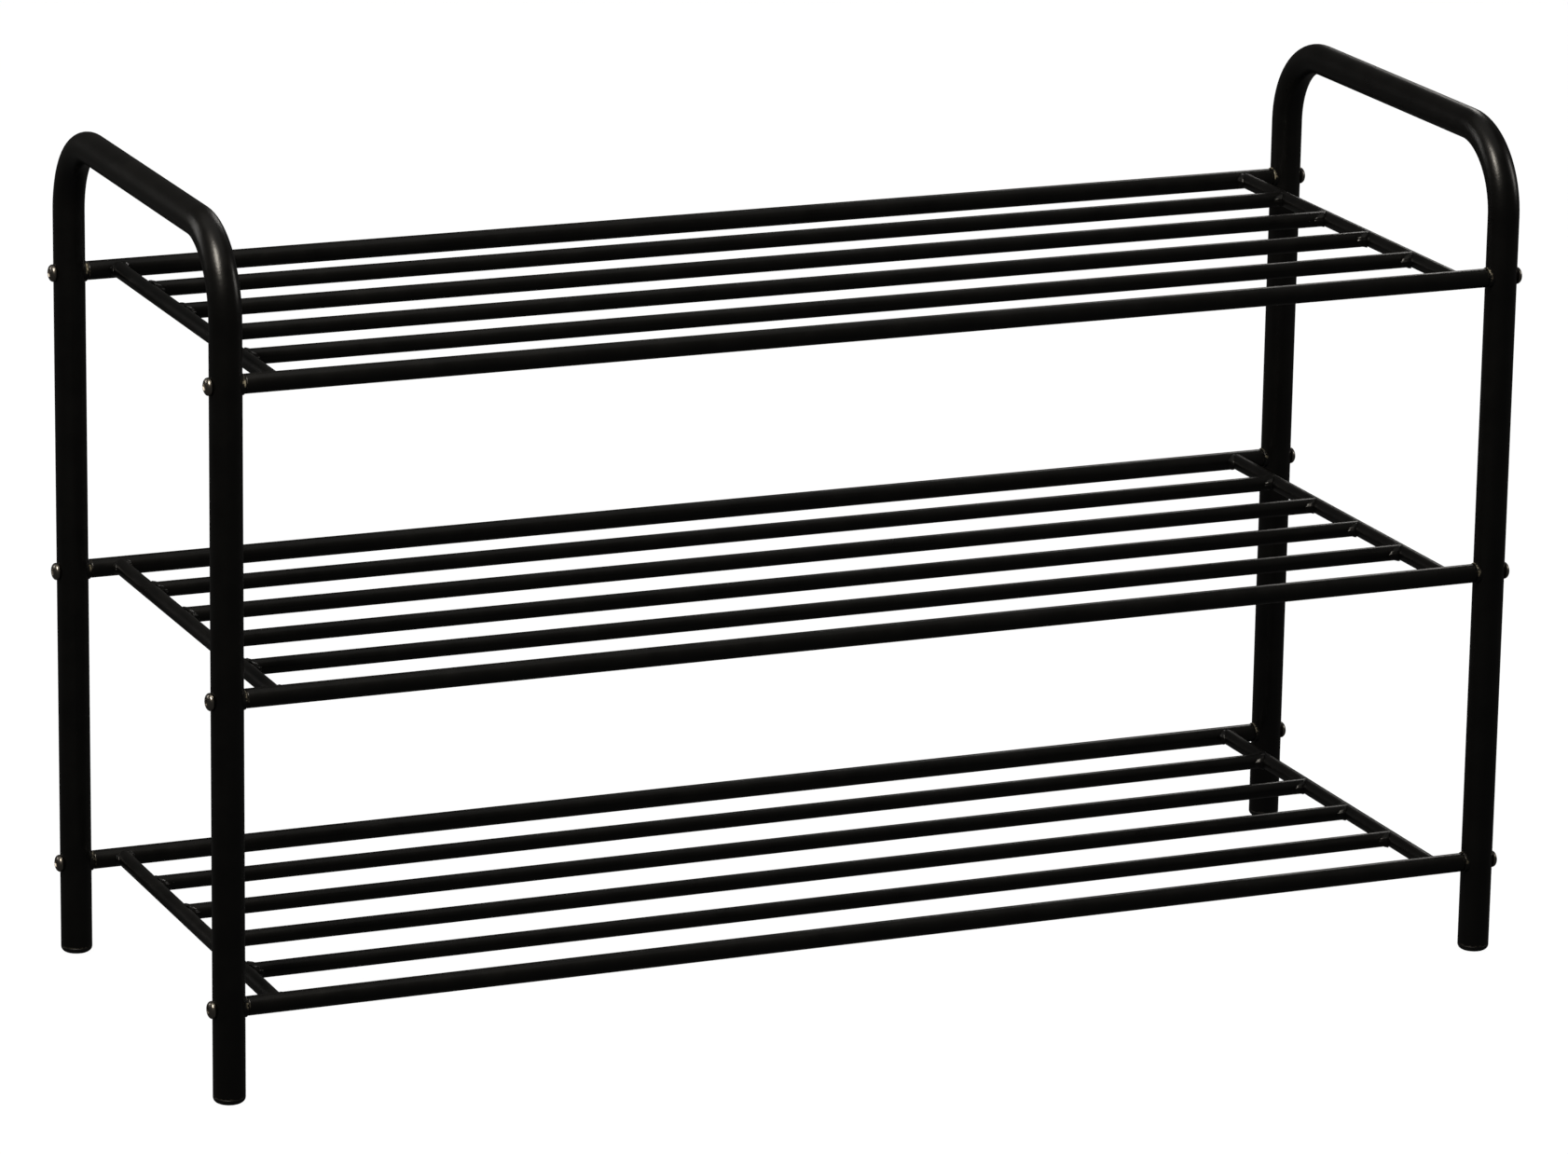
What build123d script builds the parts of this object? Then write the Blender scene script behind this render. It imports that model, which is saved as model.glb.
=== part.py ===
"""Three-tier shoe rack of powder-coated steel tube.

Two end frames, each one tube bent into an upside-down U, stand on plastic foot plugs. Three welded
shelves hang between them. A bolt goes through each leg and a saddle spacer into a threaded insert in the
end of each rail.

Frame: +X runs along the rack to its right end, +Y to its back and +Z up. The origin is on the floor,
midway between the four feet. Every size is in millimetres.
"""

import os

from build123d import *

# Overall layout
LEG_SPACING_X = 845.0  # between the axes of the two end frames
LEG_SPACING_Y = 305.0  # between the axes of the front and rear legs
RACK_HEIGHT = 544.0  # floor to the top of the end frames
LOWEST_SHELF_HEIGHT = 59.5  # floor to the axes of the lowest shelf's tubes
SHELF_SPACING = 193.0
TIERS = ("lower", "middle", "upper")

# End frame tube
LEG_DIAMETER = 20.0
LEG_WALL = 1.0
BEND_RADIUS = 50.0  # to the axis of the tube

# Shelf tubes
RAIL_DIAMETER = 12.0
RAIL_WALL = 1.0
RAIL_END_ROUNDING = 0.8  # of the outer edge at each cut end
CROSSBAR_DIAMETER = 10.0
SLAT_DIAMETER = 10.0
THIN_WALL = 0.8  # of crossbars and slats
CROSSBAR_SPACING_X = 783.0  # between the axes of the left and right crossbars
SLAT_COUNT = 4

# Saddle spacer between a leg and the end of a rail
SADDLE_THICKNESS = 1.2  # at its thinnest, from the leg's side to the rail
SADDLE_LIP_DIAMETER = 13.4
SADDLE_LIP_THICKNESS = 0.6  # at its thinnest
SADDLE_LIP_ROUNDING = 0.4

# Foot plug
FOOT_HEAD_HEIGHT = 4.0
FOOT_EDGE_RADIUS = 3.4
FOOT_STEM_DIAMETER = 16.4
FOOT_STEM_LENGTH = 17.0
FOOT_CORE_DIAMETER = 12.4
FOOT_RING_HEIGHT = 1.4
FOOT_RING_PITCH = 4.6
FOOT_RING_COUNT = 3

# Button-head bolt and threaded insert
BOLT_DIAMETER = 6.0
BOLT_LENGTH = 35.0  # under the head
BOLT_TIP_CHAMFER = 0.8
BOLT_HEAD_DIAMETER = 11.0
BOLT_HEAD_HEIGHT = 3.3
BOLT_HEAD_RIM = 0.7  # straight side of the head under its dome
BOLT_DOME_MIDDLE = (4.75, 2.3)  # radius and height of a point halfway up the dome
BOLT_CROWN_RADIUS = 2.9  # flat face round the socket
SOCKET_ACROSS_FLATS = 4.0
SOCKET_DEPTH = 2.1
BOLT_HOLE_DIAMETER = 6.6
THREAD_PLAY = 0.04  # radial room between the bolt's thread and the insert's
INSERT_LENGTH = 18.0
INSERT_CHAMFER = 0.5

# Places worked out from the driving dimensions
LEG_RADIUS = LEG_DIAMETER / 2
RAIL_RADIUS = RAIL_DIAMETER / 2
CROSSBAR_RADIUS = CROSSBAR_DIAMETER / 2
SLAT_RADIUS = SLAT_DIAMETER / 2
LEG_INNER_RADIUS = LEG_RADIUS - LEG_WALL
RAIL_INNER_RADIUS = RAIL_RADIUS - RAIL_WALL
HALF_X = LEG_SPACING_X / 2
HALF_Y = LEG_SPACING_Y / 2
HALF_CROSSBAR_X = CROSSBAR_SPACING_X / 2
HALF_RAIL = HALF_X - LEG_RADIUS - SADDLE_THICKNESS
TOP_AXIS_HEIGHT = RACK_HEIGHT - LEG_RADIUS
SLAT_PITCH = LEG_SPACING_Y / (SLAT_COUNT + 1)
SHELF_HEIGHTS = {tier: LOWEST_SHELF_HEIGHT + SHELF_SPACING * n for n, tier in enumerate(TIERS)}
SIDES = {"left": -1, "right": 1}
ROWS = {"front": -1, "rear": 1}
ON_ITS_BASE = (Align.CENTER, Align.CENTER, Align.MIN)
UNDER_ITS_TOP = (Align.CENTER, Align.CENTER, Align.MAX)
ALONG_X = (0, 90, 0)
ALONG_Y = (90, 0, 0)


def end_frame(side):
    """One bent tube with two legs, and a bolt hole through each leg at each shelf."""
    x = side * HALF_X
    with BuildPart() as frame:
        with BuildLine(Plane.YZ.offset(x)) as path:
            FilletPolyline(
                (-HALF_Y, FOOT_HEAD_HEIGHT),
                (-HALF_Y, TOP_AXIS_HEIGHT),
                (HALF_Y, TOP_AXIS_HEIGHT),
                (HALF_Y, FOOT_HEAD_HEIGHT),
                radius=BEND_RADIUS,
            )
        with BuildSketch(Plane((x, -HALF_Y, FOOT_HEAD_HEIGHT))):
            Circle(LEG_RADIUS)
            Circle(LEG_INNER_RADIUS, mode=Mode.SUBTRACT)
        sweep(path=path.line)
        with Locations([(x, row * HALF_Y, z) for row in ROWS.values() for z in SHELF_HEIGHTS.values()]):
            Cylinder(BOLT_HOLE_DIAMETER / 2, 2 * LEG_DIAMETER, rotation=ALONG_X, mode=Mode.SUBTRACT)
    return frame


def foot_plug(side, row):
    """A moulded plug: a rounded head under the leg, and a hollow stem whose rings grip the tube."""
    with BuildPart(Plane((side * HALF_X, row * HALF_Y, 0))) as plug:
        Cylinder(LEG_RADIUS, FOOT_HEAD_HEIGHT, align=ON_ITS_BASE)
        fillet(plug.edges().group_by(Axis.Z)[0], FOOT_EDGE_RADIUS)
        Cylinder(FOOT_STEM_DIAMETER / 2, FOOT_HEAD_HEIGHT + FOOT_STEM_LENGTH, align=ON_ITS_BASE)
        chamfer(plug.edges().group_by(Axis.Z)[-1], FOOT_RING_HEIGHT / 2)
        for ring in range(FOOT_RING_COUNT):
            with Locations((0, 0, FOOT_HEAD_HEIGHT + FOOT_RING_PITCH * (ring + 0.5))):
                Cylinder(LEG_INNER_RADIUS, FOOT_RING_HEIGHT, align=ON_ITS_BASE)
        with Locations((0, 0, FOOT_HEAD_HEIGHT)):
            Cylinder(FOOT_CORE_DIAMETER / 2, FOOT_STEM_LENGTH, align=ON_ITS_BASE, mode=Mode.SUBTRACT)
    return plug


def rail(row, z):
    """A straight tube between the saddle spacers on a left leg and a right leg, with square-cut ends."""
    with BuildPart() as tube:
        with BuildSketch(Plane((0, row * HALF_Y, z), x_dir=(0, 1, 0), z_dir=(1, 0, 0))):
            Circle(RAIL_RADIUS)
            Circle(RAIL_INNER_RADIUS, mode=Mode.SUBTRACT)
        extrude(amount=HALF_RAIL, both=True)
        fillet(tube.edges().filter_by(GeomType.CIRCLE).group_by(SortBy.RADIUS)[-1], RAIL_END_ROUNDING)
    return tube


def crossbar(side, z):
    """A tube from the front rail to the rear rail, coped to sit against both."""
    x = side * HALF_CROSSBAR_X
    with BuildPart() as tube:
        with BuildSketch(Plane((x, 0, z), x_dir=(1, 0, 0), z_dir=(0, 1, 0))):
            Circle(CROSSBAR_RADIUS)
            Circle(CROSSBAR_RADIUS - THIN_WALL, mode=Mode.SUBTRACT)
        extrude(amount=HALF_Y, both=True)
        with Locations([(x, row * HALF_Y, z) for row in ROWS.values()]):
            Cylinder(RAIL_RADIUS, 2 * RAIL_DIAMETER, rotation=ALONG_X, mode=Mode.SUBTRACT)
    return tube


def slat(number, z):
    """A thin tube from the left crossbar to the right crossbar, coped to sit against both."""
    y = SLAT_PITCH * number - HALF_Y
    with BuildPart() as tube:
        with BuildSketch(Plane((0, y, z), x_dir=(0, 1, 0), z_dir=(1, 0, 0))):
            Circle(SLAT_RADIUS)
            Circle(SLAT_RADIUS - THIN_WALL, mode=Mode.SUBTRACT)
        extrude(amount=HALF_CROSSBAR_X, both=True)
        with Locations([(side * HALF_CROSSBAR_X, y, z) for side in SIDES.values()]):
            Cylinder(CROSSBAR_RADIUS, 2 * SLAT_DIAMETER, rotation=ALONG_Y, mode=Mode.SUBTRACT)
    return tube


def bolt_seats(z, inset=0.0):
    """One plane for each bolt of a shelf, on the leg's outer side or inset from it, with Z pointing out."""
    return [
        Plane((side * (HALF_X + LEG_RADIUS - inset), row * HALF_Y, z), x_dir=(0, 1, 0), z_dir=(side, 0, 0))
        for side in SIDES.values()
        for row in ROWS.values()
    ]


def bolts(z):
    """The four button-head bolts of one shelf, one through each leg."""
    head_radius = BOLT_HEAD_DIAMETER / 2
    shank_radius = BOLT_DIAMETER / 2 - THREAD_PLAY
    rim = (head_radius, BOLT_HEAD_RIM)
    crown = (BOLT_CROWN_RADIUS, BOLT_HEAD_HEIGHT)
    with BuildPart() as bolt:
        with BuildSketch(Plane.XZ):
            with BuildLine():
                ThreePointArc(rim, BOLT_DOME_MIDDLE, crown)
                Polyline(
                    crown,
                    (0, BOLT_HEAD_HEIGHT),
                    (0, -BOLT_LENGTH),
                    (shank_radius - BOLT_TIP_CHAMFER, -BOLT_LENGTH),
                    (shank_radius, BOLT_TIP_CHAMFER - BOLT_LENGTH),
                    (shank_radius, 0),
                    (head_radius, 0),
                    rim,
                )
            make_face()
        revolve(axis=Axis.Z)
        with BuildSketch(Plane.XY.offset(BOLT_HEAD_HEIGHT)):
            RegularPolygon(SOCKET_ACROSS_FLATS / 2, 6, major_radius=False)
        extrude(amount=-SOCKET_DEPTH, mode=Mode.SUBTRACT)
    with BuildPart() as group:
        with Locations(*bolt_seats(z)):
            add(bolt.part)
    return group


def saddle_spacers(z):
    """The four moulded spacers of one shelf, each flat against a rail's end and hollowed round its leg."""
    with BuildPart() as spacer:
        Cylinder(SADDLE_LIP_DIAMETER / 2, LEG_RADIUS + SADDLE_LIP_THICKNESS, align=UNDER_ITS_TOP)
        fillet(spacer.edges().group_by(Axis.Z)[0], SADDLE_LIP_ROUNDING)
        Cylinder(RAIL_RADIUS, LEG_RADIUS + SADDLE_THICKNESS, align=UNDER_ITS_TOP)
        Cylinder(LEG_RADIUS, 2 * LEG_DIAMETER, rotation=ALONG_Y, mode=Mode.SUBTRACT)
        Cylinder(BOLT_HOLE_DIAMETER / 2, 2 * LEG_DIAMETER, mode=Mode.SUBTRACT)
    with BuildPart() as group:
        with Locations(*bolt_seats(z, inset=LEG_RADIUS)):
            add(spacer.part)
    return group


def rail_inserts(z):
    """The four threaded sleeves of one shelf, one in each end of its front and rear rails."""
    with BuildPart() as insert:
        Cylinder(RAIL_INNER_RADIUS, INSERT_LENGTH, align=UNDER_ITS_TOP)
        Hole(BOLT_DIAMETER / 2)
        chamfer(insert.edges().filter_by(GeomType.CIRCLE), INSERT_CHAMFER)
    with BuildPart() as group:
        with Locations(*bolt_seats(z, inset=LEG_DIAMETER + SADDLE_THICKNESS)):
            add(insert.part)
    return group


def save(name, piece):
    """Label one finished piece and write its file."""
    piece.part.label = name
    export_step(piece.part, f"parts/{name}.step")


os.makedirs("parts", exist_ok=True)
for side_name, side in SIDES.items():
    save(f"{side_name}_end_frame", end_frame(side))
    for row_name, row in ROWS.items():
        save(f"{row_name}_{side_name}_foot_plug", foot_plug(side, row))
for tier, z in SHELF_HEIGHTS.items():
    for row_name, row in ROWS.items():
        save(f"{tier}_{row_name}_rail", rail(row, z))
    for side_name, side in SIDES.items():
        save(f"{tier}_{side_name}_crossbar", crossbar(side, z))
    for number in range(1, SLAT_COUNT + 1):
        save(f"{tier}_slat_{number}", slat(number, z))
    save(f"{tier}_saddle_spacers", saddle_spacers(z))
    save(f"{tier}_rail_inserts", rail_inserts(z))
    save(f"{tier}_bolts", bolts(z))
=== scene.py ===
"""Looks of the three-tier shoe rack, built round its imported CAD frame.

Two bent end frames on plastic foot plugs carry three welded shelves of powder-coated steel tube, and a
button-head bolt through a saddle spacer holds each rail to its leg. Lengths are in metres. +X runs along
the rack to its right end, +Y to its back and +Z up, with the origin on the floor midway between the feet.
"""

import logging
import math
import random
from contextlib import contextmanager
from dataclasses import dataclass, field
from enum import Enum
from itertools import product
from typing import Callable, ClassVar, Iterator

import bmesh
import bpy
from mathutils import Matrix, Vector


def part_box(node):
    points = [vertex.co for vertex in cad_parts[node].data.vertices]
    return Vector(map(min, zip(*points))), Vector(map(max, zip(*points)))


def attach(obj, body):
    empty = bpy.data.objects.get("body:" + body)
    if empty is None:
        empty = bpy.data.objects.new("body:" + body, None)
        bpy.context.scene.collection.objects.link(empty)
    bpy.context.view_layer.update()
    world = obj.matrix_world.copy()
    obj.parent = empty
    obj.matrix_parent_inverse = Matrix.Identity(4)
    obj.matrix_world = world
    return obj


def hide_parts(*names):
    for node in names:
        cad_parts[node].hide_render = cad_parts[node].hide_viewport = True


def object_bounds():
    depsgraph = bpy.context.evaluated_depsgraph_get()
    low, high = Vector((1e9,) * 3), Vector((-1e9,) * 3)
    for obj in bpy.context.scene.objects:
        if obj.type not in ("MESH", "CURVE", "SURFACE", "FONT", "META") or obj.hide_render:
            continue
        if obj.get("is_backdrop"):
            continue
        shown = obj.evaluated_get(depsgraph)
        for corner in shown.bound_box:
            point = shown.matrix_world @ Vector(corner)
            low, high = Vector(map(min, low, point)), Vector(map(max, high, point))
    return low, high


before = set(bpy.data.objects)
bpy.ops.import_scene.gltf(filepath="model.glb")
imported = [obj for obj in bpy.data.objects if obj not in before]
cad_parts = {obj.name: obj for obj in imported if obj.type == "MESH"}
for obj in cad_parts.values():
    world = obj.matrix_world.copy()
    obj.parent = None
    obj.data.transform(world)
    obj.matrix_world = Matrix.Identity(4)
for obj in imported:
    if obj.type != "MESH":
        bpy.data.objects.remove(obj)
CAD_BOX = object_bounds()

Place = tuple[float, float, float]
Colour = tuple[float, float, float, float]

LOG = logging.getLogger("shoe_rack")
MM = 0.001
TOUCH = 0.001 * MM
SLATS_ON_SHELF = 4
WELD_SEED = 20
SMOOTH_ANGLE = math.radians(38)
TUBE_SIDES = 64
THIN_TUBE_SIDES = 48
HOLE_SIDES = 32
HEX_SIDES = 6
EDGE_SEGMENTS = 2

# A cutter this many radii long passes right through the tube that it cuts.
CUT_THROUGH = 4

QUARTER_TURN = math.pi / 2
UPRIGHT: Place = (0.0, 0.0, 0.0)
ALONG_X: Place = (0.0, QUARTER_TURN, 0.0)
ALONG_Y: Place = (-QUARTER_TURN, 0.0, 0.0)


class Side(Enum):
    """An end of the rack, as the sign of its X."""

    LEFT = -1
    RIGHT = 1


class Row(Enum):
    """The front or rear legs and rails, as the sign of their Y."""

    FRONT = -1
    REAR = 1


class Tier(Enum):
    """A shelf, by its place in the stack."""

    LOWER = 0
    MIDDLE = 1
    UPPER = 2


class Slot(Enum):
    """The record's material slots."""

    COAT = "black_powder_coat"
    PLASTIC = "black_plastic"
    NYLON = "black_nylon"
    BOLT = "dark_bolt_steel"
    INSERT = "zinc_insert_steel"


class Pick(Enum):
    """What is selected in edit mode."""

    EDGES = "EDGE"
    FACES = "FACE"


class Reach(Enum):
    """What a light reaches, as the way the floor is linked to it."""

    FLOOR_ONLY = "INCLUDE"
    ALL_BUT_FLOOR = "EXCLUDE"


def word(choice: Enum) -> str:
    """Gives an option's name as it stands in a node's name."""
    return choice.name.lower()


# ---------------------------------------------------------------- bench tools


def clear_selection() -> None:
    """Leaves object mode with nothing selected."""
    bpy.ops.object.select_all(action="DESELECT")


def take(piece: bpy.types.Object) -> None:
    """Makes one piece the only selected and the active one.

    Args:
        piece: The piece to work on.
    """
    clear_selection()
    piece.select_set(True)
    bpy.context.view_layer.objects.active = piece


@contextmanager
def editing(piece: bpy.types.Object) -> Iterator[None]:
    """Opens a piece in edit mode, and closes it again, ready to select points.

    Args:
        piece: The mesh to work on.

    Returns:
        What the with statement holds open.
    """
    take(piece)
    bpy.ops.object.mode_set(mode="EDIT")
    yield
    bpy.ops.mesh.select_mode(type="VERT")
    bpy.ops.object.mode_set(mode="OBJECT")


def pick(piece: bpy.types.Object, kind: Pick, wanted: Callable[[Vector], bool]) -> None:
    """Selects, in edit mode, the edges or the faces whose corners all pass a test.

    Args:
        piece: The mesh in edit mode.
        kind: Whether edges or faces are selected.
        wanted: Says whether a corner at this place passes.
    """
    bpy.ops.mesh.select_mode(type=kind.value)
    bpy.ops.mesh.select_all(action="DESELECT")
    net = bmesh.from_edit_mesh(piece.data)
    for item in net.edges if kind is Pick.EDGES else net.faces:
        item.select = all(wanted(corner.co) for corner in item.verts)
    bmesh.update_edit_mesh(piece.data)


def set_place(piece: bpy.types.Object) -> None:
    """Puts a piece's place, turn and size into its mesh, which leaves its object at the origin."""
    take(piece)
    bpy.ops.object.transform_apply(location=True, rotation=True, scale=True)


def add_object(name: str, data: bpy.types.ID) -> bpy.types.Object:
    """Adds an object to the scene.

    Args:
        name: Its name.
        data: Its mesh, lamp or camera.

    Returns:
        The new object.
    """
    thing = bpy.data.objects.new(name, data)
    bpy.context.scene.collection.objects.link(thing)
    return thing


def start_ring(name: str, radius: float, sides: int, centre: Place,
               turn: Place = UPRIGHT) -> bpy.types.Object:
    """Adds the open ring that a tube or a turned piece is drawn out from.

    Args:
        name: The piece's name.
        radius: The ring's radius.
        sides: How many straight edges it has.
        centre: Its centre.
        turn: Its turn about X, Y and Z, in radians, from lying flat.

    Returns:
        The new piece.
    """
    clear_selection()
    bpy.ops.mesh.primitive_circle_add(vertices=sides, radius=radius, location=centre, rotation=turn)
    ring = bpy.context.active_object
    ring.name = ring.data.name = name
    set_place(ring)
    return ring


def draw_out(*steps: Place) -> None:
    """Extrudes what is selected in edit mode through each step in turn."""
    for step in steps:
        bpy.ops.mesh.extrude_region_move(TRANSFORM_OT_translate={"value": step})


def scale_about_axis(share: float) -> None:
    """Scales what is selected in edit mode about the Z axis, and keeps its height."""
    bpy.ops.transform.resize(value=(share, share, 1), center_override=(0, 0, 0))


def face_out(piece: bpy.types.Object) -> None:
    """Merges a shell's doubled points and turns its faces outwards.

    Args:
        piece: The shell.
    """
    with editing(piece):
        bpy.ops.mesh.select_all(action="SELECT")
        bpy.ops.mesh.remove_doubles(threshold=TOUCH)
        bpy.ops.mesh.normals_make_consistent(inside=False)


def turn_piece(name: str, profile: list[tuple[float, float]], sides: int = TUBE_SIDES) -> bpy.types.Object:
    """Turns a solid piece on the Z axis, by drawing its lowest ring out through a profile.

    Args:
        name: The piece's name.
        profile: The radius and height of each corner, from the rim of its lowest face.
        sides: How many straight edges its rings have.

    Returns:
        The new piece, closed at both ends.
    """
    radius, height = profile[0]
    base = height
    piece = start_ring(name, radius, sides, (0, 0, base))
    with editing(piece):
        for next_radius, next_height in profile[1:]:
            draw_out((0, 0, next_height - height))
            if not math.isclose(next_radius, radius):
                scale_about_axis(next_radius / radius)
            radius, height = next_radius, next_height
        bpy.ops.mesh.edge_face_add()
        pick(piece, Pick.EDGES, lambda p: p.z < base + TOUCH)
        bpy.ops.mesh.edge_face_add()
    face_out(piece)
    return piece


def apply_modifier(piece: bpy.types.Object, kind: str, **settings: object) -> None:
    """Adds a modifier to a piece and applies it.

    Args:
        piece: The piece to change.
        kind: The modifier's type.
        settings: Its settings by name.
    """
    take(piece)
    modifier = piece.modifiers.new(kind.title(), kind)
    for key, value in settings.items():
        setattr(modifier, key, value)
    bpy.ops.object.modifier_apply(modifier=modifier.name)


def give_wall(piece: bpy.types.Object, wall: float) -> None:
    """Gives an outward-facing tube its wall, inwards from its outer surface."""
    apply_modifier(piece, "SOLIDIFY", thickness=wall, offset=-1.0, use_even_offset=True, use_rim=True)


def draw_tube(name: str, radius: float, wall: float, start: Place, turn: Place, steps: list[Place],
              sides: int = THIN_TUBE_SIDES) -> bpy.types.Object:
    """Draws out a straight tube.

    Args:
        name: The tube's name.
        radius: Its outer radius.
        wall: Its wall's thickness.
        start: The middle of its first end.
        turn: Its turn about X, Y and Z, in radians, from standing upright.
        steps: The lengths that it is drawn out by, in order.
        sides: How many flat sides it has.

    Returns:
        The new tube, open at both ends.
    """
    tube = start_ring(name, radius, sides, start, turn)
    with editing(tube):
        draw_out(*steps)
    face_out(tube)
    give_wall(tube, wall)
    return tube


def cut_round(piece: bpy.types.Object, radius: float, depth: float, centre: Place, turn: Place,
              sides: int = TUBE_SIDES) -> None:
    """Cuts a round hole or cope into a piece.

    Args:
        piece: The piece to cut.
        radius: The cutter's radius.
        depth: Its length.
        centre: Its middle.
        turn: Its turn about X, Y and Z, in radians, from standing upright.
        sides: How many flat sides it has.
    """
    clear_selection()
    bpy.ops.mesh.primitive_cylinder_add(
        vertices=sides, radius=radius, depth=depth, location=centre, rotation=turn)
    cutter = bpy.context.active_object
    apply_modifier(piece, "BOOLEAN", operation="DIFFERENCE", object=cutter, solver="EXACT")
    bpy.data.objects.remove(cutter, do_unlink=True)


def smooth(piece: bpy.types.Object) -> None:
    """Shades a piece smooth, except across its sharp edges."""
    take(piece)
    bpy.ops.object.shade_smooth_by_angle(angle=SMOOTH_ANGLE)


def copy_piece(piece: bpy.types.Object, name: str, move: Matrix) -> bpy.types.Object:
    """Copies a piece with its own mesh, and moves that mesh.

    Args:
        piece: The piece to copy.
        name: The copy's name.
        move: Where the copy goes from where the piece is. It turns and shifts, and never mirrors.

    Returns:
        The copy, with its object at the origin.
    """
    take(piece)
    bpy.ops.object.duplicate(linked=False)
    copy = bpy.context.active_object
    copy.name = copy.data.name = name
    copy.matrix_world = move
    set_place(copy)
    return copy


def join(pieces: list[bpy.types.Object], name: str) -> bpy.types.Object:
    """Joins several meshes into one piece.

    Args:
        pieces: The meshes.
        name: The joined piece's name.

    Returns:
        The joined piece.
    """
    take(pieces[0])
    for piece in pieces[1:]:
        piece.select_set(True)
    bpy.ops.object.join()
    joined = bpy.context.active_object
    joined.name = joined.data.name = name
    return joined


def loft(name: str, rings: list[list[Vector]]) -> bpy.types.Object:
    """Makes a closed piece that runs through a row of rings.

    Args:
        name: The piece's name.
        rings: The rings in order, each with as many corners as the others.

    Returns:
        The new piece.
    """
    net = bmesh.new()
    rows = [[net.verts.new(corner) for corner in ring] for ring in rings]
    for row, beyond in zip(rows, rows[1:]):
        for near, beside, across, far in zip(row, row[1:] + row[:1], beyond[1:] + beyond[:1], beyond):
            net.faces.new((near, beside, across, far))
    net.faces.new(rows[0])
    net.faces.new(rows[-1])
    mesh = bpy.data.meshes.new(name)
    net.to_mesh(mesh)
    net.free()
    return add_object(name, mesh)


def mark(piece: bpy.types.Object, attribute: str, amount: Callable[[Vector], float]) -> None:
    """Stores a number at each point of a piece, which its finish reads as a mask.

    Args:
        piece: The piece to mark.
        attribute: The attribute's name.
        amount: Gives the number at a place.
    """
    layer = piece.data.attributes.new(attribute, "FLOAT", "POINT")
    for point, value in zip(piece.data.vertices, layer.data):
        value.value = amount(point.co)


def hand_over(piece: bpy.types.Object, slot: Slot, material: bpy.types.Material, node: str) -> None:
    """Dresses a finished piece and ties it to the frame.

    Args:
        piece: The finished piece.
        slot: The record's slot for its finish.
        material: The finish itself.
        node: The CAD node that it stands for.
    """
    piece.data.materials.clear()
    piece.data.materials.append(material)
    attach(piece, "root")
    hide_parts(node)
    LOG.info("%s: %d faces, %s", piece.name, len(piece.data.polygons), slot.value)


# ---------------------------------------------------------------- layout


@dataclass(frozen=True)
class Layout:
    """Where the rack's pieces stand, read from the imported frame."""

    leg_x: float
    leg_y: float
    leg_radius: float
    leg_foot: float
    top_axis: float
    rail_radius: float
    rail_end: float
    crossbar_x: float
    crossbar_radius: float
    slat_y: tuple[float, ...]
    slat_radius: float
    shelf_height: tuple[float, ...]

    @classmethod
    def from_frame(cls) -> "Layout":
        """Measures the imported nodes' boxes.

        Returns:
            The rack's layout.
        """
        foot_low, foot_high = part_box("front_right_foot_plug")
        frame_low, frame_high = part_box("right_end_frame")
        rail_low, rail_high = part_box("lower_front_rail")
        bar_low, bar_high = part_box("lower_right_crossbar")
        slats = [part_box(f"lower_slat_{number}") for number in range(1, SLATS_ON_SHELF + 1)]
        shelves = [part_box(f"{word(tier)}_slat_1") for tier in Tier]
        leg_radius = (frame_high.x - frame_low.x) / 2
        return cls(
            leg_x=(foot_low.x + foot_high.x) / 2,
            leg_y=-(foot_low.y + foot_high.y) / 2,
            leg_radius=leg_radius,
            leg_foot=frame_low.z,
            top_axis=frame_high.z - leg_radius,
            rail_radius=(rail_high.y - rail_low.y) / 2,
            rail_end=rail_high.x,
            crossbar_x=(bar_low.x + bar_high.x) / 2,
            crossbar_radius=(bar_high.x - bar_low.x) / 2,
            slat_y=tuple((low.y + high.y) / 2 for low, high in slats),
            slat_radius=(slats[0][1].y - slats[0][0].y) / 2,
            shelf_height=tuple((low.z + high.z) / 2 for low, high in shelves),
        )

    def rise(self, tier: Tier) -> float:
        """Gives how far a shelf lies above the lower one."""
        return self.shelf_height[tier.value] - self.shelf_height[0]

    def joint(self, tier: Tier, side: Side, row: Row) -> Matrix:
        """Gives the move from the origin to where a rail's axis crosses its leg's."""
        return Matrix.Translation(
            (side.value * self.leg_x, row.value * self.leg_y, self.shelf_height[tier.value]))


# ---------------------------------------------------------------- shader groups


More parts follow.
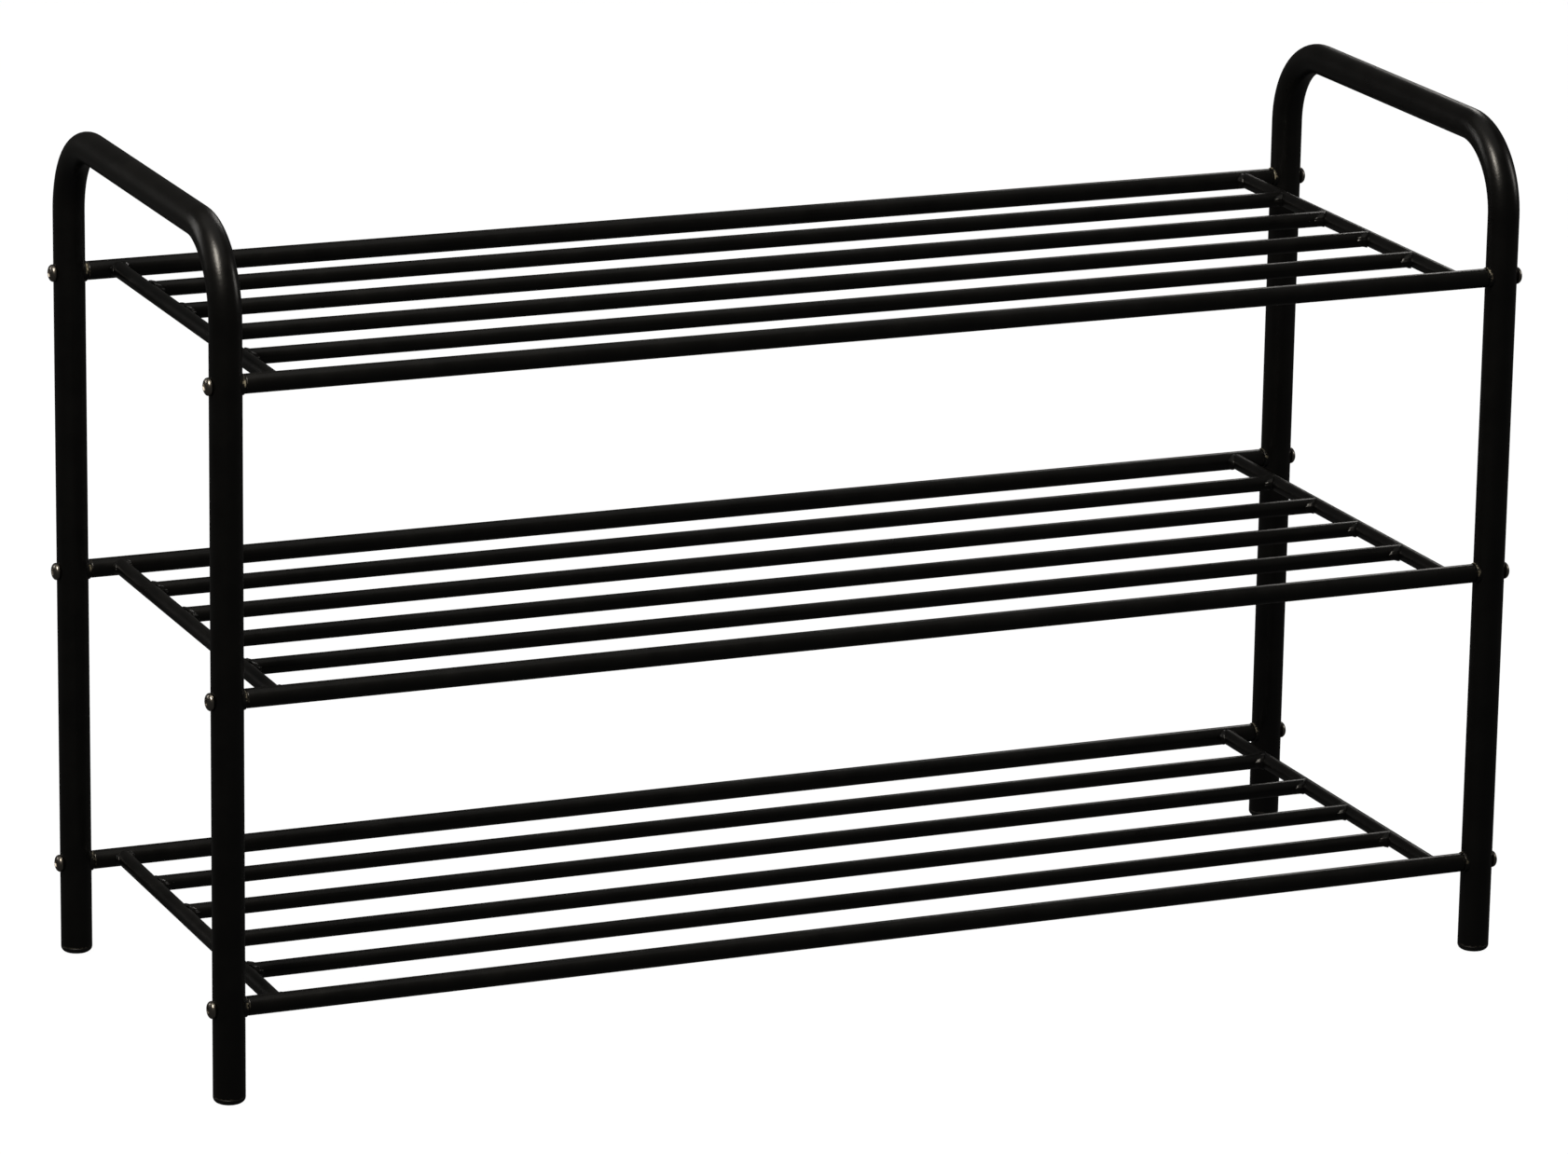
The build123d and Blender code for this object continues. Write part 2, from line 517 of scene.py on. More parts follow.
class NodeBoard:
    """Adds and wires the nodes of one material or shader group."""

    def __init__(self, tree: bpy.types.NodeTree) -> None:
        """Takes the tree that the nodes go into."""
        self.tree = tree

    def add(self, kind: str, inputs: dict[str | int, object] | None = None,
            **settings: object) -> bpy.types.Node:
        """Adds one node.

        Args:
            kind: The node's type, without its ShaderNode prefix.
            inputs: Values, or the output sockets that feed them, by the input's name or number.
            settings: The node's own settings by name.

        Returns:
            The new node.
        """
        node = self.tree.nodes.new(f"ShaderNode{kind}")
        for key, value in settings.items():
            setattr(node, key, value)
        for key, value in (inputs or {}).items():
            self.feed(node.inputs[key], value)
        return node

    def feed(self, socket: bpy.types.NodeSocket, value: object) -> None:
        """Feeds an input from another socket, or sets its value.

        Args:
            socket: The input.
            value: A value or an output socket.
        """
        if isinstance(value, bpy.types.NodeSocket):
            self.tree.links.new(value, socket)
        else:
            socket.default_value = value

    def noise(self, scale: float, detail: float = 2.0, roughness: float = 0.5,
              stretch: Place = (1, 1, 1)) -> bpy.types.NodeSocket:
        """Adds a noise pattern on object coordinates.

        Args:
            scale: Its cells in each metre.
            detail: How many finer layers it has.
            roughness: How strong the finer layers are.
            stretch: Its scale along each axis.

        Returns:
            The noise value, about 0.5 in the middle.
        """
        place = self.add("TexCoord").outputs["Object"]
        placed = self.add("Mapping", {"Vector": place, "Scale": stretch}).outputs["Vector"]
        return self.add("TexNoise", {"Vector": placed, "Scale": scale, "Detail": detail,
                                     "Roughness": roughness}).outputs["Fac"]

    def span(self, value: bpy.types.NodeSocket, low: float = 0.0, high: float = 1.0, to_low: float = 0.0,
             to_high: float = 1.0) -> bpy.types.NodeSocket:
        """Maps a range of values to another, and clamps it.

        Args:
            value: The value to map.
            low: The start of its range.
            high: The end of its range.
            to_low: What the start becomes.
            to_high: What the end becomes.

        Returns:
            The mapped value.
        """
        return self.add("MapRange", {"Value": value, "From Min": low, "From Max": high,
                                     "To Min": to_low, "To Max": to_high}).outputs["Result"]

    def sum(self, operation: str, first: object, second: object) -> bpy.types.NodeSocket:
        """Works out one sum.

        Args:
            operation: The Math node's operation.
            first: A number or a socket.
            second: A number or a socket.

        Returns:
            The result.
        """
        return self.add("Math", {0: first, 1: second}, operation=operation).outputs["Value"]

    def blend(self, share: bpy.types.NodeSocket, first: object, second: object) -> bpy.types.NodeSocket:
        """Blends two colours.

        Args:
            share: How much of the second colour shows.
            first: A colour or a socket.
            second: A colour or a socket.

        Returns:
            The blended colour.
        """
        node = self.add("Mix", {"Factor": share}, data_type="RGBA")
        for name, value in (("A", first), ("B", second)):
            self.feed(next(s for s in node.inputs if s.name == name and s.type == "RGBA"), value)
        return next(s for s in node.outputs if s.type == "RGBA")

    def roughen(self, base: bpy.types.NodeSocket, mask: bpy.types.NodeSocket,
                extra: float) -> bpy.types.NodeSocket:
        """Adds more roughness where a mask lies."""
        return self.sum("ADD", base, self.sum("MULTIPLY", mask, extra))

    def bump(self, height: bpy.types.NodeSocket, depth: float) -> bpy.types.NodeSocket:
        """Gives the normal of a surface with this relief on it, this deep in metres."""
        return self.add("Bump", {"Height": height, "Strength": 1.0, "Distance": depth}).outputs["Normal"]


class Effect(Enum):
    """The surface effects that several finishes share, each one shader node group."""

    ORANGE_PEEL = "orange_peel"
    SETTLED_DUST = "settled_dust"
    RUBBED_EDGE = "rubbed_edge"
    FINE_SCRATCHES = "fine_scratches"


@dataclass
class EffectGroup:
    """One shader group being built: its sockets, and the board that holds its nodes."""

    effect: Effect
    inputs: dict[str, float]
    outputs: tuple[str, ...]

    def __post_init__(self) -> None:
        """Makes the group with its sockets and no nodes between them."""
        self.tree = bpy.data.node_groups.new(self.effect.value, "ShaderNodeTree")
        for name, value in self.inputs.items():
            socket = self.tree.interface.new_socket(name, in_out="INPUT", socket_type="NodeSocketFloat")
            socket.default_value = value
        for name in self.outputs:
            self.tree.interface.new_socket(name, in_out="OUTPUT", socket_type="NodeSocketFloat")
        self.board = NodeBoard(self.tree)
        self.source = self.tree.nodes.new("NodeGroupInput").outputs
        self.result = self.tree.nodes.new("NodeGroupOutput").inputs

    def give(self, name: str, value: bpy.types.NodeSocket) -> None:
        """Wires a value to one of the group's outputs."""
        self.board.feed(self.result[name], value)


class EffectShelf:
    """Builds each shared effect once, and places it in materials."""

    def __init__(self) -> None:
        """Builds the four shader node groups."""
        groups = (self._orange_peel(), self._settled_dust(), self._rubbed_edge(), self._fine_scratches())
        self.groups = {group.effect: group.tree for group in groups}

    @staticmethod
    def _orange_peel() -> EffectGroup:
        """Builds the dimpled skin of baked powder, and the slow clouding of its gloss.

        Returns:
            The finished group.
        """
        group = EffectGroup(Effect.ORANGE_PEEL, {"Cell": 700.0, "Grit": 0.25}, ("Height", "Cloud"))
        board = group.board
        place = board.add("TexCoord").outputs["Object"]
        dimples = board.add("TexNoise", {"Vector": place, "Scale": group.source["Cell"], "Detail": 1.0})
        grit = board.add("TexNoise", {"Vector": place, "Scale": 3200.0, "Detail": 2.0})
        fine = board.sum("MULTIPLY", grit.outputs["Fac"], group.source["Grit"])
        group.give("Height", board.sum("ADD", dimples.outputs["Fac"], fine))
        cloud = board.noise(scale=45.0, detail=4.0, roughness=0.6)
        group.give("Cloud", board.span(cloud, low=0.3, high=0.7))
        return group

    @staticmethod
    def _settled_dust() -> EffectGroup:
        """Builds a thin uneven dust that lies on faces that look up.

        Returns:
            The finished group.
        """
        group = EffectGroup(Effect.SETTLED_DUST, {"Amount": 0.3}, ("Mask",))
        board = group.board
        normal = board.add("NewGeometry").outputs["Normal"]
        upward = board.add("SeparateXYZ", {"Vector": normal}).outputs["Z"]
        lying = board.span(upward, low=0.35, high=1.0)
        patches = board.span(board.noise(scale=60.0, detail=3.0), low=0.35, high=0.7)
        specks = board.span(board.noise(scale=1800.0, detail=1.0), low=0.55, high=0.75, to_low=0.35)
        mask = board.sum("MULTIPLY", board.sum("MULTIPLY", lying, patches), specks)
        group.give("Mask", board.sum("MULTIPLY", mask, group.source["Amount"]))
        return group

    @staticmethod
    def _rubbed_edge() -> EffectGroup:
        """Builds the broken mask on a piece's marked edges: rubbing on the powder coat, and a painted
        highlight on the spacers' nylon.

        Returns:
            The finished group.
        """
        group = EffectGroup(Effect.RUBBED_EDGE, {"Amount": 1.0}, ("Mask",))
        board = group.board
        # The marked attribute holds real rubbing on the end frames and rails, and a painted highlight on the
        # spacers.
        marked = board.add("Attribute", attribute_name="wear").outputs["Fac"]
        broken = board.span(board.noise(scale=520.0, detail=3.0, roughness=0.6), low=0.38, high=0.62)
        worn_and_painted_glint = board.span(board.sum("MULTIPLY", marked, broken), low=0.15, high=0.75)
        group.give("Mask", board.sum("MULTIPLY", worn_and_painted_glint, group.source["Amount"]))
        return group

    @staticmethod
    def _fine_scratches() -> EffectGroup:
        """Builds hairline scratches that run two ways.

        Returns:
            The finished group.
        """
        group = EffectGroup(Effect.FINE_SCRATCHES, {"Amount": 1.0}, ("Height", "Mask"))
        board = group.board
        along = board.noise(scale=420.0, detail=2.0, roughness=0.6, stretch=(14.0, 1.0, 1.0))
        across = board.noise(scale=380.0, detail=2.0, roughness=0.6, stretch=(1.0, 1.0, 16.0))
        lines = board.sum("MAXIMUM", *[board.span(way, low=0.6, high=0.72) for way in (along, across)])
        group.give("Mask", board.sum("MULTIPLY", lines, group.source["Amount"]))
        group.give("Height", board.sum("SUBTRACT", 1.0, lines))
        return group

    def place(self, board: NodeBoard, effect: Effect, **values: float) -> bpy.types.bpy_prop_collection:
        """Puts an effect into a material.

        Args:
            board: The material's board.
            effect: The effect to place.
            values: Its inputs in this material, by name.

        Returns:
            The placed group's outputs.
        """
        node = board.add("Group", node_tree=self.groups[effect])
        for key, value in values.items():
            node.inputs[key].default_value = value
        return node.outputs


# ---------------------------------------------------------------- finishes


@dataclass(frozen=True)
class Finish:
    """What every finish has: a name, and an empty material to start from."""

    name: str

    def start(self) -> tuple[bpy.types.Material, NodeBoard]:
        """Makes the finish's material with no nodes in it.

        Returns:
            The material and its board.
        """
        material = bpy.data.materials.new(self.name)
        material.use_nodes = True
        material.node_tree.nodes.clear()
        return material, NodeBoard(material.node_tree)

    @staticmethod
    def close(board: NodeBoard, inputs: dict[str, object]) -> None:
        """Adds the Principled shader with these inputs, and wires it to the output."""
        shader = board.add("BsdfPrincipled", inputs)
        board.add("OutputMaterial", {"Surface": shader.outputs["BSDF"]})


@dataclass(frozen=True)
class PowderCoat(Finish):
    """Satin black powder coat, baked on over the tubes and their welds."""

    name: str = Slot.COAT.value
    black: Colour = (0.0026, 0.0025, 0.0024, 1)
    greyer: Colour = (0.0046, 0.0045, 0.0042, 1)
    dust: Colour = (0.060, 0.056, 0.050, 1)
    rubbed: Colour = (0.34, 0.305, 0.245, 1)
    gloss_roughness: float = 0.27
    cloud_roughness: float = 0.34
    dust_roughness: float = 0.5
    dust_amount: float = 0.16
    rubbed_amount: float = 0.85
    peel_cell: float = 620.0
    peel_grit: float = 0.22
    peel_depth: float = 0.00005

    def material(self, effects: EffectShelf) -> bpy.types.Material:
        """Builds the material.

        Args:
            effects: The shared shader groups.

        Returns:
            The finished material.
        """
        material, board = self.start()
        peel = effects.place(board, Effect.ORANGE_PEEL, Cell=self.peel_cell, Grit=self.peel_grit)
        dust = effects.place(board, Effect.SETTLED_DUST, Amount=self.dust_amount)["Mask"]
        rubbed = effects.place(board, Effect.RUBBED_EDGE, Amount=self.rubbed_amount)["Mask"]
        colour = board.blend(peel["Cloud"], self.black, self.greyer)
        colour = board.blend(dust, colour, self.dust)
        colour = board.blend(rubbed, colour, self.rubbed)
        roughness = board.span(peel["Cloud"], to_low=self.gloss_roughness, to_high=self.cloud_roughness)
        roughness = board.roughen(roughness, dust, self.dust_roughness)
        self.close(board, {"Base Color": colour, "Roughness": roughness, "Metallic": rubbed,
                           "Normal": board.bump(peel["Height"], self.peel_depth), "Specular IOR Level": 0.5})
        return material


@dataclass(frozen=True)
class MouldedPlastic(Finish):
    """Black moulded plastic with a fine grain, scuffed near the floor, and pale on the edges that carry a
    painted highlight.
    """

    name: str = Slot.PLASTIC.value
    black: Colour = (0.0062, 0.0062, 0.0064, 1)
    scuff: Colour = (0.060, 0.058, 0.055, 1)
    # The pale colour of the painted highlight on the spacers' lips, a glint put in as colour.
    rubbed: Colour = (0.52, 0.47, 0.34, 1)
    rubbed_amount: float = 0.8
    scuff_height: float = 3.2 * MM
    scuff_full: float = 0.5 * MM
    scuff_roughness: float = 0.25
    gloss_roughness: float = 0.42
    cloud_roughness: float = 0.52
    grain_cell: float = 2600.0
    grain_grit: float = 0.6
    grain_depth: float = 0.00003

    def material(self, effects: EffectShelf) -> bpy.types.Material:
        """Builds the material.

        Args:
            effects: The shared shader groups.

        Returns:
            The finished material.
        """
        material, board = self.start()
        grain = effects.place(board, Effect.ORANGE_PEEL, Cell=self.grain_cell, Grit=self.grain_grit)
        place = board.add("TexCoord").outputs["Object"]
        height = board.add("SeparateXYZ", {"Vector": place}).outputs["Z"]
        low = board.span(height, self.scuff_height, self.scuff_full)
        marks = board.noise(scale=420.0, detail=4.0, roughness=0.65, stretch=(1, 1, 3))
        scuffed = board.sum("MULTIPLY", low, board.span(marks, low=0.46, high=0.68))
        # Where a spacer's lip is marked, the plastic blends to the pale colour of a painted highlight.
        rubbed = effects.place(board, Effect.RUBBED_EDGE, Amount=self.rubbed_amount)["Mask"]
        colour = board.blend(scuffed, self.black, self.scuff)
        colour = board.blend(rubbed, colour, self.rubbed)
        roughness = board.span(grain["Cloud"], to_low=self.gloss_roughness, to_high=self.cloud_roughness)
        roughness = board.roughen(roughness, scuffed, self.scuff_roughness)
        self.close(board, {"Base Color": colour, "Roughness": roughness,
                           "Normal": board.bump(grain["Height"], self.grain_depth)})
        return material


@dataclass(frozen=True)
class SmoothNylon(MouldedPlastic):
    """Black nylon from a polished mould."""

    name: str = Slot.NYLON.value
    gloss_roughness: float = 0.20
    cloud_roughness: float = 0.28
    grain_depth: float = 0.000008


@dataclass(frozen=True)
class PlatedSteel(Finish):
    """Plated fastener steel, clouded by its bath and scratched by the driver."""

    plate: Colour
    cloudy: Colour
    recess_colour: Colour
    gloss_roughness: float
    cloud_roughness: float
    skin_cell: float = 1500.0
    skin_grit: float = 0.4
    skin_share: float = 0.4
    scratch_amount: float = 0.5
    scratch_roughness: float = 0.2
    recess_roughness: float = 0.3
    recess_dulling: float = 0.8
    relief: float = 0.000008

    def material(self, effects: EffectShelf) -> bpy.types.Material:
        """Builds the material.

        Args:
            effects: The shared shader groups.

        Returns:
            The finished material.
        """
        material, board = self.start()
        skin = effects.place(board, Effect.ORANGE_PEEL, Cell=self.skin_cell, Grit=self.skin_grit)
        scratches = effects.place(board, Effect.FINE_SCRATCHES, Amount=self.scratch_amount)
        recessed = board.add("Attribute", attribute_name="recess").outputs["Fac"]
        patches = board.span(board.noise(scale=900.0, detail=3.0), low=0.3, high=0.6, to_low=0.5)
        # Deeper in a bolt's socket, in patches, the plate turns darker, rougher and less metallic.
        deep_patches = board.sum("MULTIPLY", recessed, patches)
        colour = board.blend(skin["Cloud"], self.plate, self.cloudy)
        colour = board.blend(deep_patches, colour, self.recess_colour)
        roughness = board.span(skin["Cloud"], to_low=self.gloss_roughness, to_high=self.cloud_roughness)
        roughness = board.roughen(roughness, scratches["Mask"], self.scratch_roughness)
        roughness = board.roughen(roughness, deep_patches, self.recess_roughness)
        height = board.sum("MULTIPLY", skin["Height"], self.skin_share)
        height = board.sum("ADD", height, scratches["Height"])
        metal = board.sum("SUBTRACT", 1.0, board.sum("MULTIPLY", deep_patches, self.recess_dulling))
        self.close(board, {"Base Color": colour, "Metallic": metal, "Roughness": roughness,
                           "Normal": board.bump(height, self.relief)})
        return material


@dataclass(frozen=True)
class DarkNickel(PlatedSteel):
    """The bolts' dark nickel plate."""

    name: str = Slot.BOLT.value
    plate: Colour = (0.40, 0.37, 0.33, 1)
    cloudy: Colour = (0.27, 0.25, 0.22, 1)
    recess_colour: Colour = (0.006, 0.006, 0.005, 1)
    gloss_roughness: float = 0.24
    cloud_roughness: float = 0.38


@dataclass(frozen=True)
class YellowZinc(PlatedSteel):
    """The inserts' zinc plate, yellowed in patches."""

    name: str = Slot.INSERT.value
    plate: Colour = (0.60, 0.60, 0.58, 1)
    cloudy: Colour = (0.50, 0.46, 0.34, 1)
    recess_colour: Colour = (0.05, 0.045, 0.04, 1)
    gloss_roughness: float = 0.28
    cloud_roughness: float = 0.45


@dataclass(frozen=True)
class PaleFloor(Finish):
    """A plain matt white studio floor."""

    name: str = "pale_floor"
    white: Colour = (0.90, 0.90, 0.90, 1)
    shade: Colour = (0.88, 0.88, 0.88, 1)

    def material(self) -> bpy.types.Material:
        """Builds the floor's material.

        Returns:
            The finished material.
        """
        material, board = self.start()
        colour = board.blend(board.noise(scale=1.5), self.white, self.shade)
        self.close(board, {"Base Color": colour, "Roughness": 0.9, "Specular IOR Level": 0.1})
        return material


# ---------------------------------------------------------------- pieces


@dataclass
class Part:
    """A kind of piece, which is built once and copied to each of its places."""

    layout: Layout
    slot: ClassVar[Slot] = Slot.COAT

    def build(self) -> bpy.types.Object:
        """Builds one bare piece of this kind."""
        raise NotImplementedError

    def spots(self) -> Iterator[tuple[str, str, Matrix]]:
        """Gives each copy's name, the node that it stands for, and its move from where one is built."""
        raise NotImplementedError

    def rub(self, piece: bpy.types.Object) -> None:
        """Marks a placed piece's rubbed edges, and on the spacers their painted highlight, on a kind that has
        them.
        """

    def place(self, material: bpy.types.Material) -> None:
        """Makes every piece of this kind.

        Args:
            material: Their finish.
        """
        master = self.build()
        for name, node, move in self.spots():
            piece = copy_piece(master, name, move)
            self.rub(piece)
            hand_over(piece, self.slot, material, node)
        bpy.data.objects.remove(master, do_unlink=True)


@dataclass
class EndFrame(Part):
    """One tube bent into an upside-down U, drilled for six bolts."""

    wall: float = 1.0 * MM
    bend_radius: float = 50.0 * MM
    bend_steps: int = 20
    hole_diameter: float = 6.6 * MM
    hole_margin: float = 5.0 * MM
    cut_edge: float = 0.25 * MM
    cut_wear: float = 0.6
    wear_reach: float = 1.2 * MM

    def build(self) -> bpy.types.Object:
        """Draws the left end frame's tube out from its front foot, and drills it.

        Returns:
            The bare end frame.
        """
        lay = self.layout
        x = -lay.leg_x
        bend_z = lay.top_axis - self.bend_radius
        bend_y = lay.leg_y - self.bend_radius
        stops = [lay.leg_foot, lay.leg_foot + self.wear_reach]
        for height in lay.shelf_height:
            stops += [height - self.hole_margin, height + self.hole_margin]
        stops.append(bend_z)
        rises = [high - low for low, high in zip(stops, stops[1:])]
        tube = start_ring("end_frame_tube", lay.leg_radius, TUBE_SIDES, (x, -lay.leg_y, lay.leg_foot))
        with editing(tube):
            draw_out(*[(0, 0, rise) for rise in rises])
            self._bend((x, -bend_y, bend_z))
            draw_out((0, bend_y, 0), (0, bend_y, 0))
            self._bend((x, bend_y, bend_z))
            draw_out(*[(0, 0, -rise) for rise in reversed(rises)])
        face_out(tube)
        give_wall(tube, self.wall)
        self._round_cut_ends(tube)
        for y, z in product((-lay.leg_y, lay.leg_y), lay.shelf_height):
            cut_round(tube, self.hole_diameter / 2, CUT_THROUGH * lay.leg_radius, (x, y, z), ALONG_X,
                      HOLE_SIDES)
        smooth(tube)
        return tube

    def _bend(self, centre: Place) -> None:
        """Spins the tube's open end a quarter turn towards the back of the rack."""
        bpy.ops.mesh.spin(steps=self.bend_steps, angle=QUARTER_TURN, center=centre, axis=(1, 0, 0))

    def _round_cut_ends(self, tube: bpy.types.Object) -> None:
        """Takes the sharpness off the outer edge of each leg's cut end.

        Args:
            tube: The end frame.
        """
        lay = self.layout
        mid_wall = lay.leg_radius - self.wall / 2
        with editing(tube):
            pick(tube, Pick.EDGES, lambda p: p.z < lay.leg_foot + TOUCH
                 and math.hypot(p.x + lay.leg_x, abs(p.y) - lay.leg_y) > mid_wall)
            bpy.ops.mesh.bevel(offset=self.cut_edge, segments=EDGE_SEGMENTS, affect="EDGES")

    def _wear(self, place: Vector) -> float:
        """Gives the rubbing at a place: some on the legs' cut ends, and none a little way up."""
        return max(0.0, self.cut_wear * (1 - (place.z - self.layout.leg_foot) / self.wear_reach))

    def rub(self, piece: bpy.types.Object) -> None:
        """Marks the legs' cut ends as rubbed."""
        mark(piece, "wear", self._wear)

    def spots(self) -> Iterator[tuple[str, str, Matrix]]:
        """Lists the two end frames.

        Returns:
            Each one's name, node and move.
        """
        for side in Side:
            node = f"{word(side)}_end_frame"
            yield f"{node}_tube", node, Matrix.Translation(((side.value + 1) * self.layout.leg_x, 0, 0))


@dataclass
class FootPlug(Part):
    """A moulded plug under a leg: a rounded head, and a hollow stem whose barbs grip the tube."""

    slot: ClassVar[Slot] = Slot.PLASTIC
    head_height: float = 4.0 * MM
    floor_edge: float = 3.4 * MM
    edge_steps: int = 8
    seam_edge: float = 0.3 * MM
    stem_radius: float = 8.2 * MM
    stem_length: float = 17.0 * MM
    barb_radius: float = 9.0 * MM
    barb_lead: float = 0.2 * MM
    barb_height: float = 1.4 * MM
    barb_pitch: float = 4.6 * MM
    barb_count: int = 3
    core_radius: float = 6.2 * MM
    top_chamfer: float = 0.7 * MM
    gate_radius: float = 2.2 * MM
    gate_depth: float = 0.35 * MM
    gate_taper: float = 0.85

    def profile(self) -> list[tuple[float, float]]:
        """Outlines the plug, from the edge of its flat base up and round to the foot of its core.

        Returns:
            The radius and height of each corner.
        """
        radius = self.layout.leg_radius
        flat = radius - self.floor_edge
        head = self.head_height
        points = [(flat, 0.0)]
        for step in range(1, self.edge_steps + 1):
            angle = QUARTER_TURN * step / self.edge_steps
            points.append((flat + self.floor_edge * math.sin(angle), self.floor_edge * (1 - math.cos(angle))))
        points += [(radius, head - self.seam_edge), (radius - self.seam_edge, head), (self.stem_radius, head)]
        for barb in range(self.barb_count):
            base = head + self.barb_pitch * (barb + 0.5)
            points += [(self.stem_radius, base), (self.barb_radius, base + self.barb_lead),
                       (self.stem_radius, base + self.barb_height)]
        top = head + self.stem_length
        points += [(self.stem_radius, top - self.top_chamfer), (self.stem_radius - self.top_chamfer, top),
                   (self.core_radius, top), (self.core_radius, head)]
        return points

    def build(self) -> bpy.types.Object:
        """Turns the plug, and dents its base where the plastic was let in.

        Returns:
            The bare plug, with its base at the origin.
        """
        points = self.profile()
        plug = turn_piece("foot_plug_master", points)
        with editing(plug):
            pick(plug, Pick.FACES, lambda p: p.z < TOUCH)
            bpy.ops.mesh.inset(thickness=points[0][0] - self.gate_radius)
            draw_out((0, 0, self.gate_depth))
            scale_about_axis(self.gate_taper)
        face_out(plug)
        smooth(plug)
        return plug

    def spots(self) -> Iterator[tuple[str, str, Matrix]]:
        """Lists the four plugs, each turned its own way.

        Returns:
            Each one's name, node and move.
        """
        for side, row in product(Side, Row):
            node = f"{word(row)}_{word(side)}_foot_plug"
            turn = Matrix.Rotation(random.Random(node).uniform(0, math.tau), 4, "Z")
            foot = Matrix.Translation((side.value * self.layout.leg_x, row.value * self.layout.leg_y, 0))
            yield f"{node}_moulding", node, foot @ turn


@dataclass
class Rail(Part):
    """A straight tube between two saddle spacers, cut square, with its outer edges rounded over."""

    wall: float = 1.0 * MM
    end_rounding: float = 0.8 * MM
    rounding_steps: int = 5
    rim_depth: float = 1.5 * MM
    middle_steps: int = 8
    rim_wear: float = 0.55
    wear_reach: float = 1.2 * MM

    def build(self) -> bpy.types.Object:
        """Draws out the lower front rail, and rounds its ends.

        Returns:
            The bare rail.
        """
        lay = self.layout
        y, z = -lay.leg_y, lay.shelf_height[0]
        rim = (self.rim_depth, 0, 0)
        to_crossbar = (lay.rail_end - self.rim_depth - lay.crossbar_x, 0, 0)
        middle = [(2 * lay.crossbar_x / self.middle_steps, 0, 0)] * self.middle_steps
        tube = draw_tube("rail_tube", lay.rail_radius, self.wall, (-lay.rail_end, y, z), ALONG_X,
                         [rim, to_crossbar, *middle, to_crossbar, rim], TUBE_SIDES)
        mid_wall = lay.rail_radius - self.wall / 2
        with editing(tube):
            pick(tube, Pick.EDGES, lambda p: abs(p.x) > lay.rail_end - TOUCH
                 and math.hypot(p.y - y, p.z - z) > mid_wall)
            bpy.ops.mesh.bevel(offset=self.end_rounding, segments=self.rounding_steps, affect="EDGES")
        smooth(tube)
        return tube

    def _wear(self, place: Vector) -> float:
        """Gives the rubbing at a place: some on the rounded rim of each end, and none along the rail."""
        return max(0.0, self.rim_wear * (1 - (self.layout.rail_end - abs(place.x)) / self.wear_reach))

    def rub(self, piece: bpy.types.Object) -> None:
        """Marks the rail's rims as rubbed."""
        mark(piece, "wear", self._wear)

    def spots(self) -> Iterator[tuple[str, str, Matrix]]:
        """Lists the six rails.

        Returns:
            Each one's name, node and move.
        """
        lay = self.layout
        for tier, row in product(Tier, Row):
            node = f"{word(tier)}_{word(row)}_rail"
            yield f"{node}_tube", node, Matrix.Translation((0, (row.value + 1) * lay.leg_y, lay.rise(tier)))


